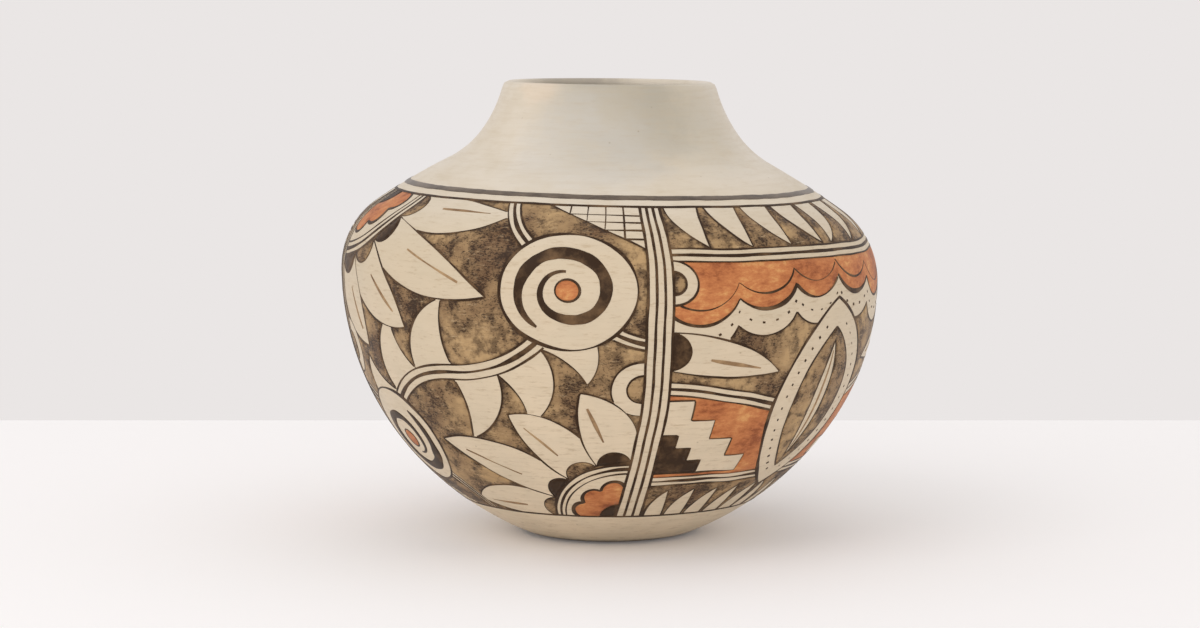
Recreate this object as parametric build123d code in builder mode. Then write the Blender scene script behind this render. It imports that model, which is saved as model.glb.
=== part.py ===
from build123d import *

import math
import os
from itertools import accumulate, pairwise

# A coil-built pueblo pottery jar, in millimetres, +Z up, standing on the centre of its foot.
# The clay wall is one outline of tangent arcs. Scarf laps cut it across, as the potter's coils lap,
# into a base bowl that is pressed in a dish and the coils that are laid on it one by one.
# A pale slip coats the outside and the mouth, and painted lines lie on the slip.

# Outline of the clay's outside: the belly's height over the foot, the rise from the belly to where
# the shoulder turns into the neck, and the rise from there to the lip. A slope is the wall's heading
# in degrees: 0 points away from the axis, 90 points straight up and 180 points towards the axis.
FOOT_DIAMETER = 72.0
FOOT_SLOPE = 21.0
FOOT_EDGE_RADIUS = 14.0
BELLY_DIAMETER = 249.2
BELLY_HEIGHT = 122.0
SHOULDER_DIAMETER = 150.0
SHOULDER_RISE = 51.6
SHOULDER_SLOPE = 152.0
NECK_RISE = 37.0
RIM_DIAMETER = 98.6
RIM_SLOPE = 105.0

# Thicknesses
WALL = 5.6
SLIP = 0.4
PAINT = 0.2

# Coils: how high the dish shapes the base bowl, and how many coils make each stretch of the wall
BOWL_HEIGHT = 31.0
WALL_COILS = 5
SHOULDER_COILS = 4
NECK_COILS = 2
RIM_COIL_WIDTH = 11.0
LAP = 4.5

# Slip: it stops short of the worn foot, and runs this far down inside the mouth
BARE_FOOT_HEIGHT = 1.6
SLIP_INSIDE = 13.0

# Painted lines round the jar: distances, widths and gaps are measured along the wall
NECK_BAND_BELOW_SHOULDER = 20.7
NECK_BAND_WIDTH = 3.2
NECK_LINE_GAP = 4.0
NECK_LINE_WIDTH = 1.4
FOOT_LINE_HEIGHT = 18.3
FOOT_LINE_WIDTH = 1.3

# Painted stripes that part the panels, in groups of parallel lines from the neck line to the foot line.
# They run straight down to a bend below the belly, and would stray this far by the level of the foot.
PANELS = 4
FIRST_STRIPES_ANGLE = -80.0
STRIPE_LINES = 4
STRIPE_LINE_WIDTH = 1.2
STRIPE_PITCH = 3.7
STRIPE_END_GAP = 0.3
STRIPE_BEND_BELOW_BELLY = 32.0
STRIPE_BEND_RADIUS = 300.0
STRIPE_STRAY = 5.5

# How far the cutting shapes reach past the wall on each side, and a length past the whole jar
CUT_REACH = 6.0
BEYOND = 2 * (BELLY_DIAMETER + BELLY_HEIGHT + SHOULDER_RISE + NECK_RISE)


class Station:
    """A point of the outline, as radius and height, and the wall's heading there."""

    def __init__(self, radius, height, slope):
        self.point = Vector(radius, height)
        self.heading = Vector(1, 0).rotate(Axis.Z, slope)
        self.inward = self.heading.rotate(Axis.Z, 90)

    def at(self, depth):
        """The point at a depth under the clay's outside. A negative depth lies outside it."""
        return self.point + self.inward * depth


def arc_joint(start, end):
    """The station between two others where the two tangent arcs that join them meet."""
    chord = end.point - start.point
    turn = 2 * (1 - start.heading.dot(end.heading))
    along = 2 * chord.dot(start.heading + end.heading)
    arm = (math.sqrt(along**2 + 4 * turn * chord.dot(chord)) - along) / (2 * turn)
    start_corner = start.point + start.heading * arm
    end_corner = end.point - end.heading * arm
    joint = (start_corner + end_corner) / 2
    heading = end_corner - start_corner
    return Station(joint.X, joint.Y, math.degrees(math.atan2(heading.Y, heading.X)))


# The rim station lies below the top of the lip, which is a half circle across the wall.
shoulder_height = BELLY_HEIGHT + SHOULDER_RISE
jar_height = shoulder_height + NECK_RISE
lip_rise = WALL / 2 * (1 + math.cos(math.radians(RIM_SLOPE)))
foot = Station(FOOT_DIAMETER / 2, 0, FOOT_SLOPE)
belly = Station(BELLY_DIAMETER / 2, BELLY_HEIGHT, 90)
shoulder = Station(SHOULDER_DIAMETER / 2, shoulder_height, SHOULDER_SLOPE)
rim = Station(RIM_DIAMETER / 2, jar_height - lip_rise, RIM_SLOPE)
outline = [
    foot,
    arc_joint(foot, belly),
    belly,
    arc_joint(belly, shoulder),
    shoulder,
    arc_joint(shoulder, rim),
    rim,
]


def wall_arcs(depth):
    """Draws the outline at a depth, from the foot to the rim, one tangent arc for each stretch."""
    return [
        TangentArc(start.at(depth), end.at(depth), tangent=start.heading)
        for start, end in pairwise(outline)
    ]


def layer_section(outer, inner):
    """The half section between two depths, with a round lip and a flat floor."""
    lip_top = rim.at((outer + inner) / 2) + rim.heading * (inner - outer) / 2
    with BuildSketch() as section:
        with BuildLine():
            wall_arcs(outer)
            ThreePointArc(rim.at(outer), lip_top, rim.at(inner))
            wall_arcs(inner)
            Polyline(foot.at(inner), (0, foot.at(inner).Y), (0, foot.at(outer).Y), foot.at(outer))
        make_face()
    return section.sketch


def hollow_section(depth):
    """The half section of all that lies further in than a depth."""
    with BuildSketch() as section:
        with BuildLine():
            wall_arcs(depth)
            Polyline(rim.at(depth), (0, rim.at(depth).Y), (0, foot.at(depth).Y), foot.at(depth))
        make_face()
    return section.sketch


# The outline as one line, and how far along it from the foot the other stations lie
with BuildLine():
    outside_arcs = wall_arcs(0)
outside = Wire(outside_arcs)
_, belly_at, _, shoulder_at, _, rim_at = accumulate(arc.length for arc in outside_arcs)


def wall_point(distance):
    """The point of the outline at a distance along it from the foot."""
    return outside.position_at(distance, position_mode=PositionMode.LENGTH)


def distance_at_height(height):
    """The distance along the wall to a height below the belly, found by halving."""
    low, high = 0.0, belly_at
    while high - low > 1e-6:
        middle = (low + high) / 2
        low, high = (middle, high) if wall_point(middle).Y < height else (low, middle)
    return low


def across(distance, lap=0.0):
    """The two ends of a line across the wall. A lap makes it slope, lower on the inside."""
    heading = outside.tangent_at(distance, position_mode=PositionMode.LENGTH)
    slant = heading.rotate(Axis.Z, 90) - heading * (lap / WALL)
    point = wall_point(distance)
    return point - slant * CUT_REACH, point + slant * (WALL + CUT_REACH)


def between(lower, upper):
    """The four-sided face between two lines across the wall."""
    with BuildSketch() as band:
        with BuildLine():
            Polyline(lower[0], upper[0], upper[1], lower[1], close=True)
        make_face()
    return band.sketch


def all_beyond(distance, reach):
    """The broad face on one side of a line across the wall: up the wall for a positive reach, else down."""
    heading = outside.tangent_at(distance, position_mode=PositionMode.LENGTH)
    aside = heading.rotate(Axis.Z, 90) * BEYOND
    point = wall_point(distance)
    far = point + heading * reach
    with BuildSketch() as side:
        with BuildLine():
            Polyline(point - aside, point + aside, far + aside, far - aside, close=True)
        make_face()
    return side.sketch


def save(piece, name):
    piece.label = name
    export_step(piece, f"parts/{name}.step")
    print(name, "solids", len(piece.solids()), "volume", round(piece.volume), "mm3")


os.makedirs("parts", exist_ok=True)
clay_section = layer_section(0, WALL)
bowl_end = distance_at_height(BOWL_HEIGHT)
neck_end = rim_at - RIM_COIL_WIDTH

# Base bowl: a cake of clay pressed into a dish, with its flat foot and floor rounded into the wall
first_lap = across(bowl_end, LAP)
bowl_corner = (first_lap[0].X, -CUT_REACH)
with BuildPart() as base_bowl:
    with BuildSketch(Plane.XZ):
        add(clay_section)
        with BuildLine():
            Polyline((0, -CUT_REACH), bowl_corner, *first_lap, (0, first_lap[1].Y), close=True)
        make_face(mode=Mode.INTERSECT)
    revolve(axis=Axis.Z)
    fillet(base_bowl.faces().filter_by(Plane.XY).edges(), FOOT_EDGE_RADIUS)
save(base_bowl.part, "base_bowl")


def coil_row(kind, start, end, count):
    """The names and starts of the coils that fill one stretch of the wall evenly."""
    step = (end - start) / count
    return [(f"{kind}_{number + 1}", start + step * number) for number in range(count)]


# Coils: each one laps the coil below on its inside
coils = (
    coil_row("wall_coil", bowl_end, belly_at, WALL_COILS)
    + coil_row("shoulder_coil", belly_at, shoulder_at, SHOULDER_COILS)
    + coil_row("neck_coil", shoulder_at, neck_end, NECK_COILS)
)
coil_ends = [start for _, start in coils[1:]] + [neck_end]
for (name, start), end in zip(coils, coil_ends):
    with BuildPart() as coil:
        with BuildSketch(Plane.XZ):
            add(clay_section)
            add(between(across(start, LAP), across(end, LAP)), mode=Mode.INTERSECT)
        revolve(axis=Axis.Z)
    save(coil.part, name)

# Rim coil: the last coil, with the rounded lip
rim_lap = across(neck_end, LAP)
past_lip = [end + rim.heading * (RIM_COIL_WIDTH + LAP + WALL) for end in rim_lap]
with BuildPart() as rim_coil:
    with BuildSketch(Plane.XZ):
        add(clay_section)
        add(between(rim_lap, past_lip), mode=Mode.INTERSECT)
    revolve(axis=Axis.Z)
save(rim_coil.part, "rim_coil")

# Slip coat: a thin skin over the outside, round the lip and a little way down inside the mouth
with BuildSketch() as bare_clay:
    add(hollow_section(WALL / 2))
    with Locations((0, jar_height - SLIP_INSIDE)):
        Rectangle(BEYOND, BEYOND, align=(Align.CENTER, Align.MIN), mode=Mode.SUBTRACT)
    with Locations((0, BARE_FOOT_HEIGHT)):
        Rectangle(BEYOND, BEYOND, align=(Align.CENTER, Align.MAX))
with BuildPart() as slip_coat:
    with BuildSketch(Plane.XZ):
        add(layer_section(-SLIP, WALL + SLIP))
        add(clay_section, mode=Mode.SUBTRACT)
        add(bare_clay.sketch, mode=Mode.SUBTRACT)
    revolve(axis=Axis.Z)
save(slip_coat.part, "slip_coat")

# Painted lines: films that lie on the slip, round the shoulder and above the foot
band_top = shoulder_at - NECK_BAND_BELOW_SHOULDER
band_foot = band_top - NECK_BAND_WIDTH
neck_line_top = band_foot - NECK_LINE_GAP
neck_line_foot = neck_line_top - NECK_LINE_WIDTH
foot_line_foot = distance_at_height(FOOT_LINE_HEIGHT)
foot_line_top = foot_line_foot + FOOT_LINE_WIDTH
film_section = layer_section(-SLIP - PAINT, -SLIP)
lines = {
    "neck_band": (band_foot, band_top),
    "neck_line": (neck_line_foot, neck_line_top),
    "foot_line": (foot_line_foot, foot_line_top),
}
for name, (start, end) in lines.items():
    with BuildPart() as line:
        with BuildSketch(Plane.XZ):
            add(film_section)
            add(between(across(start), across(end)), mode=Mode.INTERSECT)
        revolve(axis=Axis.Z)
    save(line.part, name)

# Panel stripes: groups of lines cut from one film, which stops just short of the neck and foot lines
stripes_bend = BELLY_HEIGHT - STRIPE_BEND_BELOW_BELLY
first_offset = -(STRIPE_LINES - 1) / 2 * STRIPE_PITCH
with BuildPart() as stripe_slabs:
    with BuildSketch(Plane.YZ):
        for number in range(STRIPE_LINES):
            offset = first_offset + STRIPE_PITCH * number
            with BuildLine():
                FilletPolyline(
                    (offset, shoulder_height),
                    (offset, stripes_bend),
                    (offset - STRIPE_STRAY, 0),
                    radius=STRIPE_BEND_RADIUS,
                )
            trace(line_width=STRIPE_LINE_WIDTH)
    extrude(amount=BEYOND)
with BuildPart() as panel_stripes:
    with BuildSketch(Plane.XZ):
        add(film_section)
        add(all_beyond(foot_line_top + STRIPE_END_GAP, -BEYOND), mode=Mode.SUBTRACT)
        add(all_beyond(neck_line_foot - STRIPE_END_GAP, BEYOND), mode=Mode.SUBTRACT)
    revolve(axis=Axis.Z)
    with PolarLocations(0, PANELS, start_angle=FIRST_STRIPES_ANGLE):
        add(stripe_slabs.part, mode=Mode.INTERSECT)
save(panel_stripes.part, "panel_stripes")
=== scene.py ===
import cmath
import math
from itertools import accumulate, groupby, pairwise

import bpy
import numpy as np
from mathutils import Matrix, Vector, kdtree
from mathutils.geometry import delaunay_2d_cdt


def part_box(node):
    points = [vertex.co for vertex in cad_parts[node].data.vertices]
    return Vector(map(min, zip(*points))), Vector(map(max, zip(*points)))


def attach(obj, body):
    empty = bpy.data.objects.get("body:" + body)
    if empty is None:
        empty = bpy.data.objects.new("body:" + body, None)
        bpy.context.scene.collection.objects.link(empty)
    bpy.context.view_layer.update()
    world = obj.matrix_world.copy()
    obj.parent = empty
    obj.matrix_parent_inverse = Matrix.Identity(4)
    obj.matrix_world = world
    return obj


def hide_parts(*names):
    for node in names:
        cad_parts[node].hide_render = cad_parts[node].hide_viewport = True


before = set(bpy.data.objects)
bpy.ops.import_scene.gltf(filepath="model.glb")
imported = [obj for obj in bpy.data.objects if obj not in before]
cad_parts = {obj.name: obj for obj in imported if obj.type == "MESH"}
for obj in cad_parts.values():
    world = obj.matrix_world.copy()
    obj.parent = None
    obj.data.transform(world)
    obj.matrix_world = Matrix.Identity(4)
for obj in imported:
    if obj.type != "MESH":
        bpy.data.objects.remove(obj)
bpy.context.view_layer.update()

# A coil-built pueblo pottery jar. Sizes are in millimetres and turn to metres where a mesh is made.
# A place on the jar's half section is a complex number: the radius, plus the height times 1j.
MM = 0.001
scene = bpy.context.scene

# Outline of the clay's outside, as the part has it
FOOT_DIAMETER = 72.0
FOOT_SLOPE = 21.0
FOOT_EDGE_RADIUS = 14.0
BELLY_DIAMETER = 249.2
BELLY_HEIGHT = 122.0
SHOULDER_DIAMETER = 150.0
SHOULDER_RISE = 51.6
SHOULDER_SLOPE = 152.0
NECK_RISE = 37.0
RIM_DIAMETER = 98.6
RIM_SLOPE = 105.0
WALL = 5.6
SLIP = 0.4

# Coils, as the part has them
BOWL_HEIGHT = 31.0
WALL_COILS = 5
SHOULDER_COILS = 4
NECK_COILS = 2
RIM_COIL_WIDTH = 11.0
LAP = 4.5
BARE_FOOT_HEIGHT = 1.6
SLIP_INSIDE = 13.0

# Painted lines round the jar and stripes that part the panels, as the part has them
NECK_BAND_WIDTH = 3.2
NECK_LINE_WIDTH = 1.4
FOOT_LINE_WIDTH = 1.3
PANELS = 4
FIRST_STRIPES_ANGLE = -80.0
STRIPE_LINES = 4
STRIPE_LINE_WIDTH = 1.2
STRIPE_PITCH = 3.7
STRIPE_BEND_BELOW_BELLY = 32.0
STRIPE_BEND_RADIUS = 300.0
STRIPE_STRAY = 5.5

# How the hand-built jar leans: at each height, the degrees by which its left side stands higher
LEAN = ((0.0, 0.0), (40.0, 0.35), (95.0, 1.35), (170.0, 1.35), (195.0, 0.7), (211.0, 0.5))

# Clay and slip meshes: steps round the jar and along a section, what counts as one point, and finger marks
CLAY_STEPS_ROUND = 192
CLAY_STEP = 1.4
SLIP_STEPS_ROUND = 320
SLIP_STEPS_ALONG = 260
SEAM = 0.02
LIP_STEPS = 12
FOOT_STEPS = 6
MARK_DEPTH = 1.2
MARK_SIZE = 22.0

# The panels' design is drawn on a flat sheet, one panel wide at the belly
SHEET_WIDTH = 180.0
SHEET_HEIGHT = 196.0
DRAWING_STEP = 1.5
FIELD_STEP = 2.3
FIELD_CLEARANCE = 0.55
BORDER = 0.05
DRAWING_SEAM = 1e-4

# Widths of the design's lines: the main outlines, the edges of cream shapes, hatching, dashes and veins
OUTLINE = 1.4
EDGE = 0.72
FINE = 0.65
DASH = 1.1
VEIN = 1.2

# Paint lies on the slip: how high a field and a stroke stand, how far a field is sunk, what lies over what
FIELD_FILM = 0.06
FIELD_SINK = 0.12
STROKE_FILM = 0.09
STRIPE_LIFT = 0.015
RING_LIFT = 0.03
STROKE_STEPS = 100

# The painter's hand: how far a drawing strays and over what length, and how a brush's width changes
HAND = 2.4
RING_HAND = 1.2
HAND_SIZE = 34.0
BRUSH_STEP = 1.3
BRUSH_CHANGE = 0.7
BRUSH_CHANGE_SIZE = 9.0
PRESSURE_CHANGE = 0.6
PRESSURE_SIZES = (8.0, 11.0)

# Stage: the floor ends where the photograph's backdrop begins. Sizes are in metres and angles in degrees.
FLOOR_SIDE = 4.0
FLOOR_FRONT = -5.0
FLOOR_BACK = 0.362
CAMERA_PLACE = (-0.00443, -1.43361, 0.25621)
CAMERA_DIP = 6.14
CAMERA_LENS = 92.19
CAMERA_SENSOR = 36.0
PAPER_GLOW = 0.07


def add(tree, kind, fill=None, operation=None, **settings):
    """Adds a node, named without its class prefix. A node among its inputs stands for its first output."""
    kinds = (prefix + kind for prefix in ("GeometryNode", "ShaderNode", "Node"))
    new = tree.nodes.new(next(name for name in kinds if hasattr(bpy.types, name)))
    if operation:
        new.operation = operation
    for name, value in settings.items():
        setattr(new, name, value)
    for key, value in (fill or {}).items():
        if isinstance(value, bpy.types.Node):
            value = next(output for output in value.outputs if output.enabled)
        if isinstance(value, bpy.types.NodeSocket):
            tree.links.new(value, new.inputs[key])
        else:
            new.inputs[key].default_value = value
    return new


class Arc:
    """A stretch of the outline that leaves start along heading and bends evenly to end."""

    def __init__(self, start, heading, end):
        chord = end - start
        turn = 2 * cmath.phase(chord / heading)
        self.start = start
        self.heading = heading
        self.length = abs(chord) * (turn / 2) / math.sin(turn / 2)
        self.bend = turn / self.length

    def at(self, distance):
        """The place and the heading at a distance from the start."""
        turned = cmath.exp(1j * self.bend * distance)
        return self.start + self.heading * (turned - 1) / (1j * self.bend), self.heading * turned


def dot(one, two):
    return (one.conjugate() * two).real


def arc_joint(start, end):
    """The place and heading where the two tangent arcs between two stations meet."""
    chord = end[0] - start[0]
    turn = 2 * (1 - dot(start[1], end[1]))
    along = 2 * dot(chord, start[1] + end[1])
    arm = (math.sqrt(along**2 + 4 * turn * abs(chord) ** 2) - along) / (2 * turn)
    start_corner = start[0] + start[1] * arm
    end_corner = end[0] - end[1] * arm
    heading = end_corner - start_corner
    return (start_corner + end_corner) / 2, heading / abs(heading)


def station(radius, height, slope):
    return complex(radius, height), cmath.rect(1, math.radians(slope))


# The wall's arcs from the foot to the rim, which lies below the top of the half-round lip
shoulder_height = BELLY_HEIGHT + SHOULDER_RISE
jar_height = shoulder_height + NECK_RISE
lip_rise = WALL / 2 * (1 + math.cos(math.radians(RIM_SLOPE)))
stations = [
    station(FOOT_DIAMETER / 2, 0, FOOT_SLOPE),
    station(BELLY_DIAMETER / 2, BELLY_HEIGHT, 90),
    station(SHOULDER_DIAMETER / 2, shoulder_height, SHOULDER_SLOPE),
    station(RIM_DIAMETER / 2, jar_height - lip_rise, RIM_SLOPE),
]
wall_arcs = []
for start, end in pairwise(stations):
    joint = arc_joint(start, end)
    wall_arcs += [Arc(*start, joint[0]), Arc(*joint, end[0])]
_, belly_at, _, shoulder_at, _, rim_at = accumulate(arc.length for arc in wall_arcs)
foot_corner_end = FOOT_EDGE_RADIUS * math.tan(math.radians(FOOT_SLOPE) / 2)


def wall(distance, depth=0.0):
    """The place at a distance up the wall's outside and a depth into the clay."""
    for arc in wall_arcs:
        if distance <= arc.length or arc is wall_arcs[-1]:
            break
        distance -= arc.length
    place, heading = arc.at(distance)
    return place + 1j * heading * depth


def distance_at(height):
    """The distance up the wall to a height, found by halving."""
    low, high = 0.0, rim_at
    while high - low > 1e-6:
        middle = (low + high) / 2
        low, high = (middle, high) if wall(middle).imag < height else (low, middle)
    return low


def up_wall(start, end, depth):
    """Places along the wall at one depth, about a millimetre apart, from start to end."""
    count = max(2, round(abs(end - start)))
    return [wall(start + (end - start) * step / count, depth) for step in range(count + 1)]


def round_lip(depth):
    """Places over the half-round lip from the outside in, at a depth under its surface."""
    middle = wall(rim_at, WALL / 2)
    spoke = wall(rim_at, depth) - middle
    return [middle + spoke * cmath.exp(1j * math.pi * step / LIP_STEPS) for step in range(1, LIP_STEPS)]


def foot_corner(depth):
    """Places on the rounding between the flat foot, or the floor over it, and the wall."""
    bend = Arc(wall(0, depth) - foot_corner_end, 1 + 0j, wall(foot_corner_end, depth))
    return [bend.at(bend.length * step / FOOT_STEPS)[0] for step in range(FOOT_STEPS + 1)]


def new_object(name, data):
    """A new object in the scene."""
    made = bpy.data.objects.new(name, data)
    scene.collection.objects.link(made)
    return made


def curve_object(name, points, cyclic=False, weights=None):
    """A poly curve through points in millimetres, for the node trees to read."""
    curve = bpy.data.curves.new(name, "CURVE")
    curve.dimensions = "3D"
    spline = curve.splines.new("POLY")
    spline.points.add(len(points) - 1)
    for point, place, weight in zip(spline.points, points, weights or [1.0] * len(points)):
        point.co = (*(part * MM for part in place), 1)
        point.radius = weight
    spline.use_cyclic_u = cyclic
    return bpy.data.objects.new(name, curve)


def upright(places):
    """Places of the half section as points over the X axis."""
    return [(place.real, 0, place.imag) for place in places]


def new_tree(name, inputs, outputs):
    """A geometry node tree with named inputs and outputs, and what its inputs give."""
    tree = bpy.data.node_groups.new(name, "GeometryNodeTree")
    for way, sockets in (("INPUT", inputs), ("OUTPUT", outputs)):
        for label, kind in sockets.items():
            tree.interface.new_socket(label, in_out=way, socket_type=f"NodeSocket{kind}")
    return tree, tree.nodes.new("NodeGroupInput").outputs


def end_tree(tree, mesh, material):
    """Ends a node tree with its mesh smooth, real and coated, and gives the tree."""
    smooth = add(tree, "SetShadeSmooth", {"Geometry": mesh})
    real = add(tree, "RealizeInstances", {"Geometry": smooth})
    coated = add(tree, "SetMaterial", {"Geometry": real, "Material": material})
    add(tree, "GroupOutput", {0: coated})
    return tree


def along_section(tree, section, mode, fill):
    """What a section curve gives at a place along it, and the way out of the clay there."""
    curve = add(tree, "ObjectInfo", {"Object": section}).outputs["Geometry"]
    fill = {"Curves": curve} | fill
    sample = add(tree, "SampleCurve", fill, mode=mode, use_all_curves=True).outputs
    run = add(tree, "SeparateXYZ", {0: sample["Tangent"]}).outputs
    back_run = add(tree, "Math", {0: run["X"], 1: -1.0}, "MULTIPLY")
    return sample, add(tree, "CombineXYZ", {"X": run["Z"], "Z": back_run})


MESH = {"Geometry": "Geometry"}
TURNED_INPUTS = MESH | {
    "Section": "Object",
    "Points round": "Int",
    "Points along": "Int",
    "Mark depth": "Float",
    "Mark size": "Float",
    "Clay": "Material",
}
WRAP_INPUTS = {"Outline": "Object", "Hand": "Float", "Hand size": "Float"}
PAINT_INPUTS = MESH | {
    "Copies": "Int",
    "First angle": "Float",
    "Angle between": "Float",
    "Paint": "Material",
} | WRAP_INPUTS

# Turned clay: a section swept round the jar's axis, with finger marks where the section's weight allows
tree, given = new_tree("Turned clay", TURNED_INPUTS, MESH)
grid = add(tree, "MeshGrid", {"Vertices X": given["Points round"], "Vertices Y": given["Points along"]})
on_grid = add(tree, "SeparateXYZ", {0: grid.outputs["UV Map"]}).outputs
turn = add(tree, "Math", {0: on_grid["X"], 1: math.tau}, "MULTIPLY")
fill = {"Value": add(tree, "InputRadius"), "Factor": on_grid["Y"]}
on_section, out_of_clay = along_section(tree, given["Section"], "FACTOR", fill)
place, out = (
    add(tree, "VectorRotate", {"Vector": vector, "Angle": turn}, rotation_type="Z_AXIS")
    for vector in (on_section["Position"], out_of_clay)
)
mark_scale = add(tree, "Math", {0: 1.0, 1: given["Mark size"]}, "DIVIDE")
marks = add(tree, "TexNoise", {"Vector": place, "Scale": mark_scale, "Detail": 2})
centred = add(tree, "Math", {0: marks, 1: 0.5}, "SUBTRACT")
weighed = add(tree, "Math", {0: centred, 1: on_section["Value"]}, "MULTIPLY")
mark_height = add(tree, "Math", {0: weighed, 1: given["Mark depth"]}, "MULTIPLY")
mark = add(tree, "VectorMath", {0: out, "Scale": mark_height}, "SCALE")
marked = add(tree, "VectorMath", {0: place, 1: mark})
swept = add(tree, "SetPosition", {"Geometry": grid, "Position": marked})
closed = add(tree, "MergeByDistance", {"Geometry": swept, "Distance": SEAM * MM})
turned_tree = end_tree(tree, closed, given["Clay"])

# Wrap: turns a flat place (angle, distance up the wall, height off the clay) into a place on the jar.
# A slow noise moves the drawing a little, as a hand does, and moves fields and strokes alike.
tree, given = new_tree("Wrap round the jar", WRAP_INPUTS, {"Place": "Vector", "Out": "Vector"})
belly = BELLY_DIAMETER / 2 * MM
flat = add(tree, "SeparateXYZ", {0: add(tree, "InputPosition")}).outputs
spoke = add(tree, "CombineXYZ", {"X": belly, "Z": flat["Y"]})
hand_place = add(tree, "VectorRotate", {"Vector": spoke, "Angle": flat["X"]}, rotation_type="Z_AXIS")
hand_scale = add(tree, "Math", {0: 1.0, 1: given["Hand size"]}, "DIVIDE")
hand = add(tree, "TexNoise", {"Vector": hand_place, "Scale": hand_scale, "Detail": 1}).outputs["Color"]
centred = add(tree, "VectorMath", {0: hand, 1: (0.5, 0.5, 0.5)}, "SUBTRACT")
stray = add(tree, "VectorMath", {0: centred, "Scale": given["Hand"]}, "SCALE")
move = add(tree, "SeparateXYZ", {0: stray}).outputs
turn_move = add(tree, "Math", {0: move["X"], 1: belly}, "DIVIDE")
turn = add(tree, "Math", {0: flat["X"], 1: turn_move})
distance = add(tree, "Math", {0: flat["Y"], 1: move["Y"]})
on_outline, out_of_wall = along_section(tree, given["Outline"], "LENGTH", {"Length": distance})
raised = add(tree, "VectorMath", {0: out_of_wall, "Scale": flat["Z"]}, "SCALE")
off_wall = add(tree, "VectorMath", {0: on_outline["Position"], 1: raised})
place, out = (
    add(tree, "VectorRotate", {"Vector": vector, "Angle": turn}, rotation_type="Z_AXIS")
    for vector in (off_wall, out_of_wall)
)
add(tree, "GroupOutput", {0: place, 1: out})
wrap_tree = tree


def repeated_and_wrapped(tree, given, flat_mesh):
    """Copies a flat drawing along the angle axis, and gives the copies and where they wrap to."""
    first = add(tree, "CombineXYZ", {"X": given["First angle"]})
    apart = add(tree, "CombineXYZ", {"X": given["Angle between"]})
    fill = {"Count": given["Copies"], "Start Location": first, "Offset": apart}
    panels = add(tree, "MeshLine", fill)
    copies = add(tree, "InstanceOnPoints", {"Points": panels, "Instance": flat_mesh})
    real = add(tree, "RealizeInstances", {"Geometry": copies})
    fill = {label: given[label] for label in WRAP_INPUTS}
    return real, add(tree, "Group", fill, node_tree=wrap_tree).outputs


# Painted field: a flat mesh of one panel's fields, given a thickness, repeated and wrapped round the jar
tree, given = new_tree("Painted field", PAINT_INPUTS | {"Film": "Float", "Sink": "Float"}, MESH)
flat = given["Geometry"]
thick = add(tree, "Math", {0: given["Film"], 1: given["Sink"]})
fill = {"Mesh": flat, "Offset": (0, 0, 1), "Offset Scale": thick, "Individual": False}
top = add(tree, "ExtrudeMesh", fill)
underside = add(tree, "FlipFaces", {"Mesh": flat})
film = add(tree, "JoinGeometry", {0: top})
tree.links.new(underside.outputs["Mesh"], film.inputs[0])
closed = add(tree, "MergeByDistance", {"Geometry": film, "Distance": DRAWING_SEAM * MM})
copies, wrap = repeated_and_wrapped(tree, given, closed)
laid = add(tree, "SetPosition", {"Geometry": copies, "Position": wrap["Place"]})
field_tree = end_tree(tree, laid, given["Paint"])

# Brush stroke: flat paths with a width at each point, repeated, wrapped and swept by a low domed section
inputs = PAINT_INPUTS | {"Step": "Float", "Width change": "Float", "Section": "Object"}
tree, given = new_tree("Brush stroke", inputs, MESH)
copies, wrap = repeated_and_wrapped(tree, given, given["Geometry"])
paths = add(tree, "MeshToCurve", {"Mesh": copies})
fill = {"Geometry": paths, "Name": "out", "Value": wrap["Out"]}
faced_out = add(tree, "StoreNamedAttribute", fill, data_type="FLOAT_VECTOR", domain="POINT")
laid = add(tree, "SetPosition", {"Geometry": faced_out, "Position": wrap["Place"]})
stepped = add(tree, "ResampleCurve", {"Curve": laid, "Length": given["Step"]}, mode="LENGTH")
out, width = (
    add(tree, "InputNamedAttribute", {"Name": name}, data_type=kind)
    for name, kind in (("out", "FLOAT_VECTOR"), ("width", "FLOAT"))
)
faced = add(tree, "SetCurveNormal", {"Curve": stepped, "Normal": out}, mode="FREE")
pressure = add(tree, "TexNoise", {"Scale": 1 / (BRUSH_CHANGE_SIZE * MM), "Detail": 2})
centred = add(tree, "Math", {0: pressure, 1: 0.5}, "SUBTRACT")
change = add(tree, "Math", {0: centred, 1: given["Width change"], 2: 1.0}, "MULTIPLY_ADD")
drawn_width = add(tree, "Math", {0: width, 1: change}, "MULTIPLY")
section = add(tree, "ObjectInfo", {"Object": given["Section"]}).outputs["Geometry"]
fill = {"Curve": faced, "Profile Curve": section, "Scale": drawn_width, "Fill Caps": True}
stroke_tree = end_tree(tree, add(tree, "CurveToMesh", fill), given["Paint"])


def lean(mesh):
    """Leans a finished mesh as the hand-built jar leans, the same for clay, slip and paint."""
    points = np.empty(len(mesh.vertices) * 3)
    mesh.vertices.foreach_get("co", points)
    points = points.reshape(-1, 3)
    heights, degrees = zip(*LEAN)
    slope = np.tan(np.radians(np.interp(points[:, 2], np.array(heights) * MM, degrees)))
    points[:, 2] -= slope * points[:, 0]
    mesh.vertices.foreach_set("co", points.ravel())
    mesh.update()


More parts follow.
